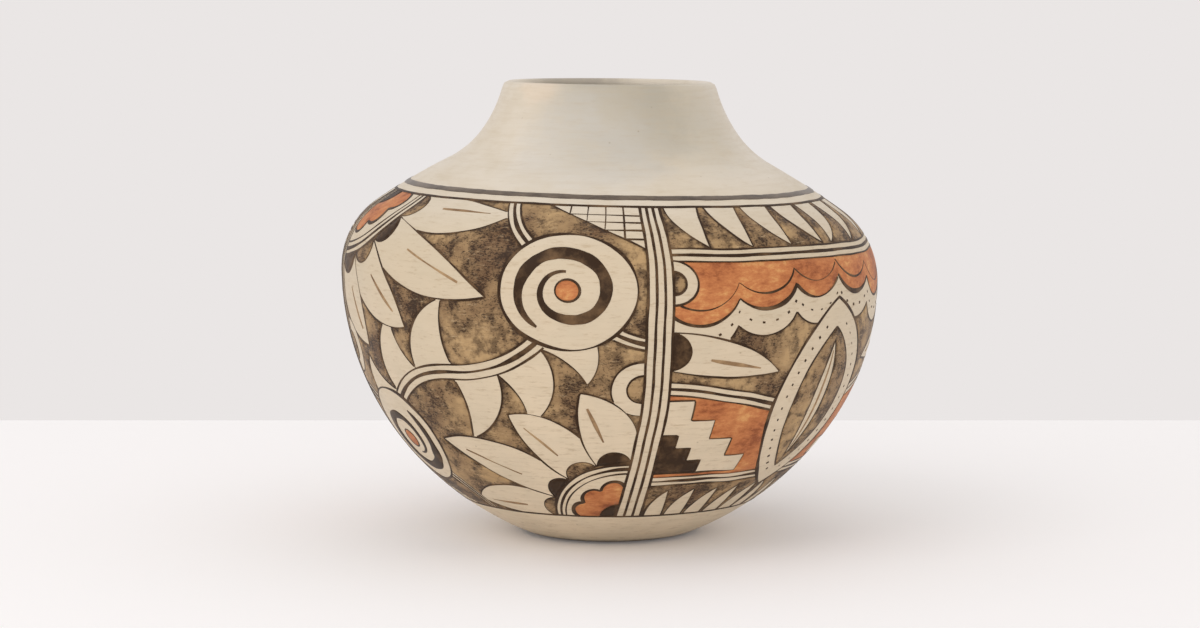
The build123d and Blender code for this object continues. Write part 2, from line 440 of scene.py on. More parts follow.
def make_piece(name, tree, mesh, inputs, slot, *nodes):
    """Runs a node tree on a mesh, keeps the result as a plain mesh, and joins it to the frame."""
    piece = new_object(name, mesh)
    modifier = piece.modifiers.new(tree.name, "NODES")
    modifier.node_group = tree
    for item in tree.interface.items_tree:
        if item.in_out == "INPUT" and item.name in inputs:
            modifier[item.identifier] = inputs[item.name]
    graph = bpy.context.evaluated_depsgraph_get()
    plain = bpy.data.meshes.new_from_object(piece.evaluated_get(graph), depsgraph=graph)
    piece.modifiers.clear()
    piece.data = plain
    plain.name = name
    lean(plain)
    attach(piece, "root")
    if nodes:
        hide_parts(*nodes)


def linear(hex_colour):
    """An sRGB hex colour as linear red, green, blue and a full alpha."""
    parts = [int(hex_colour[place : place + 2], 16) / 255 for place in (1, 3, 5)]
    return [part / 12.92 if part <= 0.04045 else ((part + 0.055) / 1.055) ** 2.4 for part in parts] + [1.0]


def new_material(name):
    """An empty material, its node tree and the piece's own coordinates in it."""
    material = bpy.data.materials.new(name)
    material.use_nodes = True
    tree = material.node_tree
    tree.nodes.clear()
    return material, tree, add(tree, "TexCoord").outputs["Object"]


def finished(material, sockets):
    """A material ended with a Principled shader that has the sockets given."""
    shader = add(material.node_tree, "BsdfPrincipled", sockets)
    add(material.node_tree, "OutputMaterial", {"Surface": shader})
    return material


def laid_over(tree, shade, pattern, span, depths, colour, **fade):
    """A colour laid over a shade, from the first depth to the second as a pattern goes over a span."""
    limits = ("From Min", "From Max", "To Min", "To Max")
    depth = add(tree, "MapRange", {"Value": pattern} | dict(zip(limits, (*span, *depths))), **fade)
    return add(tree, "Mix", {0: depth, 6: shade, 7: linear(colour)}, data_type="RGBA")


# Low-fired clay: tan, scraped with a gourd while damp, so it is matt with shallow drag lines
material, tree, coords = new_material("Low-fired scraped clay")
patches = add(tree, "TexNoise", {"Vector": coords, "Scale": 1 / (38 * MM), "Detail": 4})
drag = add(tree, "Mapping", {"Vector": coords, "Scale": (1, 1, 9)})
drag_lines = add(tree, "TexNoise", {"Vector": drag, "Scale": 1 / (14 * MM), "Detail": 6})
clay = add(tree, "Mix", {0: patches, 6: linear("#8f765b"), 7: linear("#c0a685")}, data_type="RGBA")
dragged = add(tree, "Mix", {0: drag_lines, 6: linear("#7d664d"), 7: clay}, data_type="RGBA")
scrapes = add(tree, "Bump", {"Height": drag_lines, "Strength": 0.5, "Distance": 0.4 * MM})
fired_clay = finished(material, {"Base Color": dragged, "Roughness": 0.85, "IOR": 1.5, "Normal": scrapes})

# Smoke clouds on the slip: the middle of each, the radius of its heart and of its edge, its depth and colour
SMOKE_CLOUDS = (
    ((3, -54, 199), 12, 49, 0.92, "#aaa292"),
    ((38, -42, 195), 8, 42, 0.46, "#b0a999"),
    ((-10, -66, 181), 14, 48, 0.55, "#cfc9c0"),
    ((-34, -36, 214), 6, 18, 0.5, "#e2cdb5"),
    ((-18, 42, 212), 8, 38, 0.85, "#9d9488"),
    ((-40, 70, 150), 20, 75, 0.55, "#b4ac9b"),
    ((90, 60, 90), 20, 60, 0.35, "#c4b08f"),
)
SMOKE_RAGGED = 26

# Stone-polished slip: cream, rubbed with a pebble in level strokes, so it has a low sheen and fine streaks.
# It is warmer and more scratched low on the jar, and greyer on the neck, where smoke left soft clouds. Its
# colour by height also holds painted light and shade: lighter near the foot and darker over the upper belly.
material, tree, coords = new_material("Stone-polished cream slip")
height = add(tree, "SeparateXYZ", {0: coords}).outputs["Z"]
# Colour by height, partly painted light and shade: lighter near the foot, which lies in shade, darker over
# the upper belly, which the key lamp lights most, and greyer on the neck
shade = linear("#e4d1b4")
for low, high, colour in ((16, 80, "#dac7ab"), (80, 140, "#d1bfa4"), (140, 174, "#dcd2c3")):
    shade = laid_over(tree, shade, height, (low * MM, high * MM), (0, 1), colour)
level = add(tree, "Mapping", {"Vector": coords, "Scale": (1, 1, 14)})
short = add(tree, "Mapping", {"Vector": coords, "Scale": (1, 1, 6)})
clouds, mottle, polish, scratches = (
    add(tree, "TexNoise", {"Vector": vector, "Scale": 1 / (size * MM), "Detail": detail, "Roughness": rough})
    for vector, size, detail, rough in (
        (coords, 60, 4, 0.55),
        (coords, 15, 5, 0.6),
        (level, 22, 5, 0.65),
        (short, 7, 5, 0.72),
    )
)
shade = laid_over(tree, shade, clouds, (0.42, 0.7), (0, 0.5), "#cdbda3")
for middle, heart, reach, depth, colour in SMOKE_CLOUDS:
    away = add(tree, "VectorMath", {0: coords, 1: Vector(middle) * MM}, "DISTANCE")
    ragged = add(tree, "Math", {0: mottle, 1: SMOKE_RAGGED * MM, 2: away}, "MULTIPLY_ADD")
    span = [(radius + SMOKE_RAGGED / 2) * MM for radius in (heart, reach)]
    shade = laid_over(tree, shade, ragged, span, (depth, 0), colour, interpolation_type="SMOOTHSTEP")
shade = laid_over(tree, shade, mottle, (0.45, 0.75), (0, 0.3), "#c6b89f")
shade = laid_over(tree, shade, polish, (0.45, 0.75), (0, 0.24), "#bca98a")
fill = {"Value": height, "From Min": 140 * MM, "From Max": 168 * MM, "To Min": 0.5, "To Max": 0.12}
scratch_depth = add(tree, "MapRange", fill)
shade = laid_over(tree, shade, scratches, (0.54, 0.7), (0, scratch_depth), "#a68a65")
pits = add(tree, "TexVoronoi", {"Vector": coords, "Scale": 1 / (12 * MM)})
shade = laid_over(tree, shade, pits, (0.02, 0.05), (0.4, 0), "#8b7659")
fill = {"Value": polish, "From Min": 0.3, "From Max": 0.7, "To Min": 0.36, "To Max": 0.5}
sheen = add(tree, "MapRange", fill)
rubbed = add(tree, "Bump", {"Height": polish, "Strength": 0.12, "Distance": 0.25 * MM})
cream_slip = finished(material, {"Base Color": shade, "Roughness": sheen, "IOR": 1.45, "Normal": rubbed})

# Mineral paint lies matt on the slip, with less gloss than glass of the same index would have
MATT_PAINT = {"IOR": 1.45, "Specular IOR Level": 0.2}

# Brown wash: thin iron and plant paint brushed on in coats and worn by polishing, so it is blotchy, scuffed
# through to the slip in places, and dark where it pooled along the edge of a field. Its grain is drawn
# coarser than it is, so that it shows.
material, tree, coords = new_material("Brown iron wash")
level = add(tree, "Mapping", {"Vector": coords, "Scale": (1, 1, 2)})
drag = add(tree, "Mapping", {"Vector": coords, "Scale": (1, 1, 7)})
coats, dabs, grain, scuffs = (
    add(tree, "TexNoise", {"Vector": vector, "Scale": 1 / (size * MM), "Detail": detail, "Roughness": rough})
    for vector, size, detail, rough in (
        (coords, 24, 4, 0.6),
        (coords, 8, 4, 0.65),
        (level, 1.25, 3, 0.75),
        (drag, 6, 6, 0.75),
    )
)
coats_and_dabs = add(tree, "Math", {0: dabs, 1: 0.9, 2: coats}, "MULTIPLY_ADD")
grain_shift = add(tree, "Math", {0: coats_and_dabs, 1: 0.6, 2: grain}, "MULTIPLY_ADD")
edge = add(tree, "Attribute", attribute_name="edge").outputs["Fac"]
ragged_edge = add(tree, "Math", {0: dabs, 1: 6.0 * MM, 2: edge}, "MULTIPLY_ADD")
shade = linear("#6e533a")
for pattern, span, depths, colour in (
    (coats, (0.36, 0.64), (0, 1), "#b6966c"),
    (dabs, (0.39, 0.53), (0.66, 0), "#453120"),
    (grain_shift, (0.965, 1.01), (0.95, 0), "#38271a"),
    (scuffs, (0.57, 0.7), (0, 0.65), "#cbb08a"),
    (scuffs, (0.32, 0.43), (0.6, 0), "#3d2b1d"),
    (ragged_edge, (2.6 * MM, 4.4 * MM), (0.8, 0), "#3d2b1d"),
):
    shade = laid_over(tree, shade, pattern, span, depths, colour)
brown_wash = finished(material, {"Base Color": shade, "Roughness": 0.45} | MATT_PAINT)

# Red ochre: orange-red earth paint brushed in streaks, rubbed thin and yellowish in places
material, tree, coords = new_material("Red ochre paint")
coats = add(tree, "TexNoise", {"Vector": coords, "Scale": 1 / (18 * MM), "Detail": 4, "Roughness": 0.6})
brushed = add(tree, "Mapping", {"Vector": coords, "Rotation": (0.5, 0.3, 0), "Scale": (1, 1, 2.5)})
streaks = add(tree, "TexNoise", {"Vector": brushed, "Scale": 1 / (5 * MM), "Detail": 6, "Roughness": 0.78})
coats_and_streaks = add(tree, "Math", {0: streaks, 1: 0.9, 2: coats}, "MULTIPLY_ADD")
ochre = linear("#8f4f2e")
for low, high, colour in ((0.74, 0.88, "#b46d41"), (0.88, 1.034, "#c57e4d"), (1.034, 1.202, "#d9a064")):
    ochre = laid_over(tree, ochre, coats_and_streaks, (low, high), (0, 1), colour)
red_ochre = finished(material, {"Base Color": ochre, "Roughness": 0.48} | MATT_PAINT)


# Line paint: iron paint from a brush that runs dry, so a line goes from a wet colour to a dry one
def line_paint(name, stretch, noise, span, wet, dry, sockets):
    material, tree, coords = new_material(name)
    level = add(tree, "Mapping", {"Vector": coords, "Scale": (1, 1, stretch)})
    load = add(tree, "TexNoise", {"Vector": level} | noise)
    shade = laid_over(tree, linear(wet), load, span, (0, 1), dry)
    return finished(material, {"Base Color": shade} | sockets)


# Dark line: iron paint boiled thick and drawn with a chewed yucca brush, so it is brown-black and uneven
coat = {"Roughness": 0.45} | MATT_PAINT
noise = {"Scale": 1 / (15 * MM), "Detail": 6, "Roughness": 0.65}
dark_line = line_paint("Brown-black line paint", 1, noise, (0.47, 0.76), "#352210", "#7d6042", coat)

# Pale line: the same paint thinned, so the slip shows through it
coat = {"Roughness": 0.48} | MATT_PAINT
noise = {"Scale": 1 / (9 * MM), "Detail": 5, "Roughness": 0.65}
pale_line = line_paint("Thinned brown line paint", 1, noise, (0.3, 0.7), "#6f5238", "#b4946d", coat)

# Band paint: the same line paint rubbed thin with the polishing stone, with a low roughness for a sheen. Its
# greyer, lighter brown is partly a painted sheen.
coat = {"Roughness": 0.34, "IOR": 1.45}
noise = {"Scale": 1 / (10 * MM), "Detail": 6, "Roughness": 0.7}
band_paint_with_painted_sheen = line_paint("Polished brown band paint with painted sheen", 5, noise, (0.32, 0.72), "#453930", "#766757", coat)


# Clay pieces and the slip
def turned_piece(name, node, section, steps, slot, material):
    inputs = {
        "Section": section,
        "Points round": steps[0] + 1,
        "Points along": steps[1] + 1,
        "Mark depth": MARK_DEPTH * MM,
        "Mark size": MARK_SIZE * MM,
        "Clay": material,
    }
    make_piece(name, turned_tree, bpy.data.meshes.new(name), inputs, slot, node)


def clay_piece(node, outside, inside, cyclic=True):
    """A coil or the bowl: plain under the slip, finger-marked and scraped inside."""
    places = outside + inside
    weights = [0.0] * len(outside) + [1.0] * len(inside)
    section = curve_object(f"section of {node}", upright(places), cyclic, weights)
    along = round(sum(abs(end - start) for start, end in pairwise(places)) / CLAY_STEP)
    turned_piece(f"{node}_clay", node, section, (CLAY_STEPS_ROUND, along), "fired_clay", fired_clay)


def coil_row(kind, start, end, count):
    """The names and starts of the coils that fill one stretch of the wall evenly."""
    step = (end - start) / count
    return [(f"{kind}_{number + 1}", start + step * number) for number in range(count)]


bowl_end = distance_at(BOWL_HEIGHT)
neck_end = rim_at - RIM_COIL_WIDTH
floor_inside = foot_corner(WALL)[::-1]
clay_piece(
    "base_bowl",
    [0j] + foot_corner(0) + up_wall(foot_corner_end, bowl_end, 0)[1:],
    up_wall(bowl_end - LAP, foot_corner_end, WALL)[:-1] + floor_inside + [floor_inside[-1].imag * 1j],
    cyclic=False,
)
coils = (
    coil_row("wall_coil", bowl_end, belly_at, WALL_COILS)
    + coil_row("shoulder_coil", belly_at, shoulder_at, SHOULDER_COILS)
    + coil_row("neck_coil", shoulder_at, neck_end, NECK_COILS)
)
coil_ends = [start for _, start in coils[1:]] + [neck_end]
for (node, start), end in zip(coils, coil_ends):
    clay_piece(node, up_wall(start, end, 0), up_wall(end - LAP, start - LAP, WALL))
rim_outside = up_wall(neck_end, rim_at, 0) + round_lip(0)
clay_piece("rim_coil", rim_outside, up_wall(rim_at, neck_end - LAP, WALL))

# Slip coat: a closed skin from just above the foot, over the lip and a little way inside, with no marks
slip_foot = distance_at(BARE_FOOT_HEIGHT)
slip_mouth = distance_at(jar_height - SLIP_INSIDE)
slip_places = (
    up_wall(slip_foot, rim_at, -SLIP)
    + round_lip(-SLIP)
    + up_wall(rim_at, slip_mouth, WALL + SLIP)
    + up_wall(slip_mouth, rim_at, WALL)
    + round_lip(0)[::-1]
    + up_wall(rim_at, slip_foot, 0)
)
slip_section = curve_object("section of slip_coat", upright(slip_places), True, [0.0] * len(slip_places))
slip_steps = SLIP_STEPS_ROUND, SLIP_STEPS_ALONG
turned_piece("cream_slip_coat", "slip_coat", slip_section, slip_steps, "cream_slip", cream_slip)

# The design: shapes on a flat sheet, as complex numbers, the place across plus the place up times 1j
left = -SHEET_WIDTH / 2
right = SHEET_WIDTH / 2
top = SHEET_HEIGHT * 1j


def bow(start, end, rise=0.0):
    """Points from start up to end on an even curve that swings out by rise to the left of its way."""
    chord = end - start
    count = max(2, math.ceil(abs(chord) / DRAWING_STEP))
    if not rise:
        return [start + chord * step / count for step in range(count)]
    turn = 4 * math.atan(2 * rise / abs(chord))
    whole = 1 - cmath.exp(-1j * turn)
    return [start + chord * (1 - cmath.exp(-1j * turn * step / count)) / whole for step in range(count)]


def line_to(start, end, rise=0.0):
    """The points of a bow with its end."""
    return bow(start, end, rise) + [end]


def bows(places, rise=0.0):
    """Points along a row of equal bows through some places."""
    return [point for start, end in pairwise(places) for point in bow(start, end, rise)] + places[-1:]


def sides(*corners):
    """Points round a shape with straight sides."""
    return bows([*corners, corners[0]])[:-1]


def pointed(foot, tip, end, swell, back_swell=0.0):
    """Points round a shape that rises from its foot to a tip and comes back to its foot's end."""
    return bow(foot, tip, swell) + bow(tip, end, back_swell) + bow(end, foot)


def divided(shape):
    """The same shape with points along its long edges, so that they can bend with the wall."""
    points = []
    for start, end in zip(shape, shape[1:] + shape[:1]):
        points += bow(start, end) if abs(end - start) > 2 * DRAWING_STEP else [start]
    return points


def circle(middle, radius, count=90):
    return [middle + cmath.rect(radius, math.tau * step / count) for step in range(count)]


def inside_shape(places, shape):
    """Which of the places lie inside a shape, as an array of true and false."""
    found = np.zeros(len(places), bool)
    for start, end in zip(shape, shape[1:] + shape[:1]):
        if start.imag == end.imag:
            continue
        crosses = (places.imag > start.imag) != (places.imag > end.imag)
        share = (places.imag - start.imag) / (end.imag - start.imag)
        found ^= crosses & (places.real < start.real + share * (end.real - start.real))
    return found


def split(stroke, hidden):
    """The parts of a stroke whose points aren't hidden."""
    kind, path, widths = stroke
    groups = groupby(range(len(path)), lambda index: bool(hidden[index]))
    runs = [list(run) for gone, run in groups if not gone]
    return [(kind, [path[i] for i in run], [widths[i] for i in run]) for run in runs if len(run) > 1]


def along_border(path):
    """Which points of a path run along the sheet's border, where the panel's own lines lie."""
    low, high = BORDER, SHEET_HEIGHT - BORDER
    on_border = [abs(point.real) > right - BORDER or not low < point.imag < high for point in path]
    padded = on_border[:1] + on_border + on_border[-1:]
    return [all(padded[index : index + 3]) for index in range(len(path))]


class Sheet:
    """One panel's drawing: its fields in the order of painting, and the strokes that still show."""

    def __init__(self):
        self.fields = [("wash", sides(left + 0j, right + 0j, right + top, left + top))]
        self.strokes = []

    def field(self, paint, points, line=0.0):
        """Paints a field, which covers the strokes under it, and draws its outline."""
        points = divided(points)
        shown = []
        for stroke in self.strokes:
            shown += split(stroke, inside_shape(np.array(stroke[1]), points))
        self.strokes = shown
        self.fields.append((paint, points))
        if line:
            self.stroke(points + points[:1], line)

    def stroke(self, points, width, kind="dark", end_width=1.0):
        """Draws a line whose ends have a share of its width, with a pressure that changes over the sheet."""
        last = len(points) - 1
        size_across, size_up = PRESSURE_SIZES
        widths = []
        for index, point in enumerate(points):
            wave = math.sin(point.real / size_across) * math.sin(point.imag / size_up + 1)
            taper = 1 - (1 - end_width) * (2 * index / last - 1) ** 2
            widths.append(width * (1 + PRESSURE_CHANGE * wave) * taper)
        self.strokes += split((kind, points, widths), along_border(points))


def as_drawn(points):
    return points


def half_turn(points):
    return [top - point for point in points]


def mirrored(points):
    return [-point.conjugate() for point in points]


def beside(path, shift):
    """A path moved aside, to the left of its way."""
    padded = path[:1] + path + path[-1:]
    headings = [after - before for before, after in zip(padded, padded[2:])]
    return [point + 1j * heading / abs(heading) * shift for point, heading in zip(path, headings)]


def double_bar(sheet, place, path, half_width):
    """A cream bar along a path, with a line down its middle and one along each edge."""
    sheet.field("bare", place(beside(path, half_width) + beside(path, -half_width)[::-1]))
    for shift, width in ((-half_width, EDGE), (0.0, OUTLINE), (half_width, EDGE)):
        sheet.stroke(place(beside(path, shift)), width)


def ticks(sheet, place, path, apart=6.0, length=1.3):
    """Short dashes set in a row along a path."""
    step = max(1, round(apart / DRAWING_STEP))
    for here, after in zip(path[step // 2 :: step], path[step // 2 + 1 :: step]):
        half = (after - here) / abs(after - here) * length / 2
        sheet.stroke(place([here - half, here, here + half]), DASH, "dark", 0.8)


def feather(sheet, place, root_left, root_right, tip, swell, cap, paint):
    """A cream feather from a dark rounded root to a point, with a pale vein."""
    sheet.field("bare", place(pointed(root_left, tip, root_right, *swell)), EDGE)
    root = line_to(root_left, root_right, cap)
    sheet.field(paint, place(root))
    sheet.stroke(place(root), EDGE)
    middle = (root_left + root_right) / 2
    vein = line_to(*(middle + (tip - middle) * share for share in (0.34, 0.8)))
    sheet.stroke(place(vein), VEIN, "pale", 0.6)


def feather_fan(sheet, place):
    """A quarter sun in the corner with cloud scallops, and feathers that spread from its ring."""
    corner = left + top

    def spot(radius, degrees):
        return corner + cmath.rect(radius, math.radians(degrees))

    def ring(radius):
        return line_to(spot(radius, 0), spot(radius, -90), radius * (1 - math.sqrt(0.5)))

    sheet.field("bare", place([corner] + ring(47)))
    for radius, width in ((39.5, EDGE), (43.2, OUTLINE), (47, OUTLINE)):
        sheet.stroke(place(ring(radius)), width)
    scallops = bows([spot(29, turn) for turn in (0, -30, -60, -90)], 6.0)
    sheet.field("red", place([corner] + scallops))
    sheet.stroke(place(scallops), OUTLINE)
    sheet.field("solid", place([corner] + ring(13)))
    for number, length in enumerate((116, 124, 100, 96)):
        middle = -11 - 22.5 * number
        paint = ("wash", "solid")[number % 2]
        roots = spot(48.5, middle + 10.8), spot(48.5, middle - 10.8)
        feather(sheet, place, *roots, spot(length, middle + 6), (4.5, 12.5), 8.5, paint)


def scroll_disc(sheet, place):
    """A cream disc with a red eye and a dark scroll, where the band ends, and a hatched corner beyond it."""
    middle = 56 + 144j
    sheet.field("bare", place(circle(middle, 30)), OUTLINE)
    sheet.field("red", place(circle(middle, 5.5)), EDGE)
    curl, widths = [], []
    for step in range(STROKE_STEPS + 1):
        share = step / STROKE_STEPS
        curl.append(middle + cmath.rect(23.0 - 13.5 * share, math.radians(235 - 500 * share)))
        widths.append(1.0 + 4.6 * math.sin(math.pi * share**0.6))
    sheet.strokes.append(("dark", place(curl), widths))
    start, end = 42 + top, right + 166j
    sheet.field("bare", place(sides(right + top, start, end)), EDGE)
    for share in (0.24, 0.43, 0.62, 0.81):
        crossing = start + (end - start) * share
        for side in (crossing.real + top, complex(right, crossing.imag)):
            sheet.stroke(place(line_to(side, crossing)), FINE)


def winged_band(sheet):
    """An S-curved double bar from disc to disc, with curved wings on the outside of each bend."""
    start, middle, end = -56 + 52j, 98j, 56 + 144j
    swing, half_width = 13.0, 4.0
    for place in (as_drawn, half_turn):
        edge = beside(line_to(start, middle, swing), half_width)
        step = (len(edge) - 1) / 3.4
        for number in range(3):
            foot, foot_end = (edge[round(step * (number + share))] for share in (0.4, 1.4))
            heading = (foot_end - foot) / abs(foot_end - foot)
            tip = foot_end + heading * 4.0 + 1j * heading * (26.0 + 4.0 * number)
            sheet.field("bare", place(pointed(foot, tip, foot_end, 8.5, -3.0)), EDGE)
    double_bar(sheet, as_drawn, bow(start, middle, swing) + line_to(middle, end, -swing), half_width)


def half_sun(sheet, place, middle, radius):
    """A half sun that stands on the stripes, cream round a dark middle."""
    way = 1 if middle.real > 0 else -1
    for paint, share in (("bare", 1.0), ("wash", 0.52)):
        half = line_to(middle - radius * share * 1j, middle + radius * share * 1j, radius * share * way)
        sheet.field(paint, place(half))
        sheet.stroke(place(half), EDGE)


def cloud_row(sheet, place):
    """A red field with cloud scallops along its lower edge, a cream edge under them and dashes in it."""
    edge = [150j, -30 + 147j, -60 + 141j, left + 132j]

    def scallops(rise):
        return bows([point + rise * 1j for point in edge], 8.5)

    for paint, rise, line in (("bare", -14.0, EDGE), ("red", 0.0, OUTLINE)):
        sheet.field(paint, place([top] + scallops(rise) + [left + top]))
        sheet.stroke(place(scallops(rise)), line)
    ticks(sheet, place, scallops(-7.0)[:-1])
    sheet.stroke(place(scallops(8.0)), EDGE)


def hanging_row(sheet):
    """Cream feather tips that hang from the shoulder line on a dark band, over a double bar."""
    low, pitch, base = 163j, 22.5, 19.0
    sheet.field("wash", sides(left + low, right + low, right + top, left + top))
    for place in (as_drawn, mirrored):
        for number in range(4):
            start = left + 2 + pitch * number + top
            tip = start + (base - 2) + low + 4j - top
            sheet.field("bare", place(pointed(start, tip, start + base, -4.0, 1.5)), EDGE)
    double_bar(sheet, as_drawn, line_to(left + low, right + low), 3.4)


def stepped_cloud(sheet, place):
    """Cream steps on red, with smaller dark steps inside them, on one foot line."""
    corner, foot = left + 39j, 52
    for paint, run, rise, count in (("bare", 13, 12, 4), ("solid", 8.5, 9, 3)):
        stair = []
        for number in range(count):
            across = run * (count - number)
            stair += [corner + complex(across, rise * level) for level in (number, number + 1)]
        stair.append(corner + rise * count * 1j)
        sheet.field(paint, place([corner] + bows(stair)))
        sheet.stroke(place(bows(stair)), EDGE)
    sheet.stroke(place(line_to(corner, corner + foot)), EDGE)


def sawtooth_foot(sheet, place):
    """Cream teeth along the foot line, under a double line."""
    sheet.field("wash", place(sides(left + 0j, 0j, 34j, left + 34j)))
    for number in range(5):
        start = complex(left + 2 + 18 * number, 0)
        sheet.field("bare", place(pointed(start, start + 12 + 25j, start + 15.5, 3.5)), EDGE)
    double_bar(sheet, place, line_to(left + 33j, 33j), 3.4)


def great_leaf(sheet):
    """A pointed leaf in the middle of the panel, with a smaller dark leaf and a vein in it."""
    for paint, foot, tip, half, line in (
        ("bare", 22j, 138j, 33, OUTLINE),
        ("wash", 37j, 123j, 20, EDGE),
        ("bare", 44j, 116j, 5, EDGE),
    ):
        sheet.field(paint, bow(foot, tip, half) + bow(tip, foot, half), line)
    for place in (as_drawn, mirrored):
        ticks(sheet, place, bow(30j, 130j, 26)[3:-3])
    sheet.stroke(line_to(50j, 110j), OUTLINE, "pale", 0.4)


dark_panel = Sheet()
winged_band(dark_panel)
for place in (as_drawn, half_turn):
    feather_fan(dark_panel, place)
    double_bar(dark_panel, place, line_to(22 + top, 42 + 162j, -3.0), 3.2)
    double_bar(dark_panel, place, line_to(right + 118j, 68 + 130j, 2.0), 3.2)
    half_sun(dark_panel, place, right + 94j, 15)
    scroll_disc(dark_panel, place)

red_panel = Sheet()
for place in (as_drawn, mirrored):
    cloud_row(red_panel, place)
    roots = left + 124j, left + 104j
    feather(red_panel, place, *roots, -36 + 102j, (6.0, 3.0), 9.0, "solid")
    red_panel.field("red", place(sides(left + 96j, 70j, 34j, left + 34j)))
    stepped_cloud(red_panel, place)
    double_bar(red_panel, place, line_to(left + 94j, -24 + 80j, 2.0), 3.6)
    sawtooth_foot(red_panel, place)
hanging_row(red_panel)
for place in (as_drawn, mirrored):
    half_sun(red_panel, place, left + 149j, 11)
great_leaf(red_panel)


def line_distance(node):
    """The middle distance up the wall of a painted line, from the heights that its node spans."""
    low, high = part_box(node)
    return (distance_at(low[2] / MM) + distance_at(high[2] / MM)) / 2


neck_line_at, neck_band_at, foot_line_at = map(line_distance, ("neck_line", "neck_band", "foot_line"))
stripe_half = (STRIPE_LINES - 1) / 2 * STRIPE_PITCH
stripes_bend = BELLY_HEIGHT - STRIPE_BEND_BELOW_BELLY
stray_slope = STRIPE_STRAY / stripes_bend
bend_reach = STRIPE_BEND_RADIUS * math.tan(math.atan(stray_slope) / 2)


def panel_distance(share):
    """The distance up the wall at a share of the way from the foot line to the neck line."""
    return foot_line_at + share * (neck_line_at - foot_line_at)


def stripe_turn(distance, offset):
    """The angle of a stripe from its group's middle. Above the belly the stripes draw in with the wall."""
    place = wall(distance)
    past_bend = max(0.0, stripes_bend + bend_reach - place.imag)
    stray = (past_bend - bend_reach) * stray_slope
    if past_bend < 2 * bend_reach:
        stray = past_bend**2 / (2 * STRIPE_BEND_RADIUS)
    spread = place.real / (BELLY_DIAMETER / 2) if distance > belly_at else 1.0
    return (offset * spread - stray) / place.real


def on_panel(point):
    """A point of the sheet as an angle from the panel's middle and a distance up the wall."""
    distance = panel_distance(point.imag / SHEET_HEIGHT)
    half = math.pi / PANELS
    left_edge = stripe_turn(distance, stripe_half) - half
    right_edge = stripe_turn(distance, -stripe_half) + half
    return left_edge + (right_edge - left_edge) * (point.real / right + 1) / 2, distance * MM


def painted_meshes(name, sheet):
    """Flat meshes of each paint's fields on a sheet, with each point's distance to an outline."""
    points, edges = [], []
    for _, shape in sheet.fields:
        first = len(points)
        points += shape
        edges += [(first + index, first + (index + 1) % len(shape)) for index in range(len(shape))]
    outlines = kdtree.KDTree(len(points))
    for index, point in enumerate(points):
        outlines.insert((point.real, point.imag, 0), index)
    outlines.balance()

    def to_outline(point):
        return outlines.find((point.real, point.imag, 0))[2]

    for row in range(1, int(SHEET_HEIGHT / FIELD_STEP)):
        for column in range(1, int(SHEET_WIDTH / FIELD_STEP)):
            spot = complex(left + (column + row % 2 / 2) * FIELD_STEP, row * FIELD_STEP)
            if to_outline(spot) > FIELD_STEP * FIELD_CLEARANCE:
                points.append(spot)
    flat_points = [Vector((point.real, point.imag)) for point in points]
    corners, _, faces, *_ = delaunay_2d_cdt(flat_points, edges, [], 0, DRAWING_SEAM)
    places = np.array([complex(*corner) for corner in corners])
    triangles = np.array([tuple(face) for face in faces if len(face) == 3])
    middles = places[triangles].mean(axis=1)
    paints = np.full(len(triangles), "none", dtype=object)
    for paint, shape in sheet.fields:
        paints[inside_shape(middles, shape)] = paint
    meshes = {}
    for paint in ("wash", "red", "solid"):
        used, renumbered = np.unique(triangles[paints == paint], return_inverse=True)
        mesh = bpy.data.meshes.new(f"{name} {paint}")
        flat = [(*on_panel(places[index]), (SLIP - FIELD_SINK) * MM) for index in used]
        mesh.from_pydata(flat, [], renumbered.reshape(-1, 3).tolist())
        edge = mesh.attributes.new("edge", "FLOAT", "POINT")
        edge.data.foreach_set("value", [to_outline(places[index]) * MM for index in used])
        meshes[paint] = mesh
    return meshes


def stroke_mesh(name, strokes, lift=0.0):
    """A mesh of paths of (angle, distance) points, with a width in millimetres at each."""
    points, edges, widths = [], [], []
    for path, path_widths in strokes:
        first = len(points)
        points += [(angle, distance, (SLIP + STROKE_FILM + lift) * MM) for angle, distance in path]
        edges += [(first + index, first + index + 1) for index in range(len(path) - 1)]
        widths += path_widths
    mesh = bpy.data.meshes.new(name)
    mesh.from_pydata(points, edges, [])
    mesh.attributes.new("width", "FLOAT", "POINT").data.foreach_set("value", widths)
    return mesh


# A stroke's section, a millimetre wide: a low dome on a foot that is sunk in the slip
DOME = 0.04
DOME_FOOT = 0.14
stroke_section = [(-DOME_FOOT, 0.5, 0), (-DOME_FOOT, -0.5, 0)]
for degrees in (180, 144, 108, 72, 36, 0):
    stroke_section.append((DOME * math.sin(math.radians(degrees)), 0.5 * math.cos(math.radians(degrees)), 0))
section_object = curve_object("section of a stroke", stroke_section, True)
outline_object = curve_object("outline of the clay", upright(up_wall(0, rim_at, 0)))


def paint_inputs(material, copies, first, hand=HAND):
    return {
        "Outline": outline_object,
        "Copies": copies,
        "First angle": first,
        "Angle between": math.tau / copies,
        "Hand": hand * MM,
        "Hand size": HAND_SIZE * MM,
        "Paint": material,
        "Film": FIELD_FILM * MM,
        "Sink": FIELD_SINK * MM,
        "Step": BRUSH_STEP * MM,
        "Width change": BRUSH_CHANGE,
        "Section": section_object,
    }


